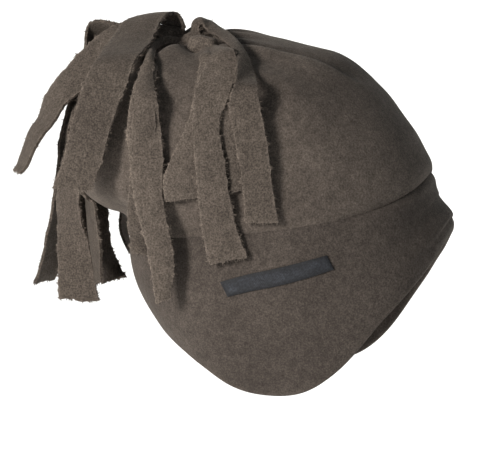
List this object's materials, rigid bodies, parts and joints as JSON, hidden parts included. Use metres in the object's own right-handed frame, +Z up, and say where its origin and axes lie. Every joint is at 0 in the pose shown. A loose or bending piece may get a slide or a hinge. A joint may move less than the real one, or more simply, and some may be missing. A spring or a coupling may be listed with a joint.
{
  "type": "fleece earflap hat",
  "caption": "Soft fleece hat with a slouched crown gathered under a tied fringe of cut strips, a flared brow, a low nape and two rounded ear flaps.",
  "frame": {"origin": "where the top of the head rests, inside the crown and under its top", "axes": "+X to the front of the hat, -Y to the wearer's right, +Z up as worn"},
  "size_m": [0.3163, 0.2061, 0.2612],
  "materials": {
    "crown_fleece": "napped fleece, dark brown",
    "band_fleece": "napped fleece, dark brown",
    "label_tape": "woven tape, near black",
    "fringe_fleece": "napped fleece with raw cut edges",
    "tie_fleece": "napped fleece with raw cut edges"
  },
  "bodies": {
    "root": {"crown": "crown_fleece", "band": "band_fleece", "label": "label_tape", "fringe": "fringe_fleece", "tie": "tie_fleece"}
  },
  "joints": []
}
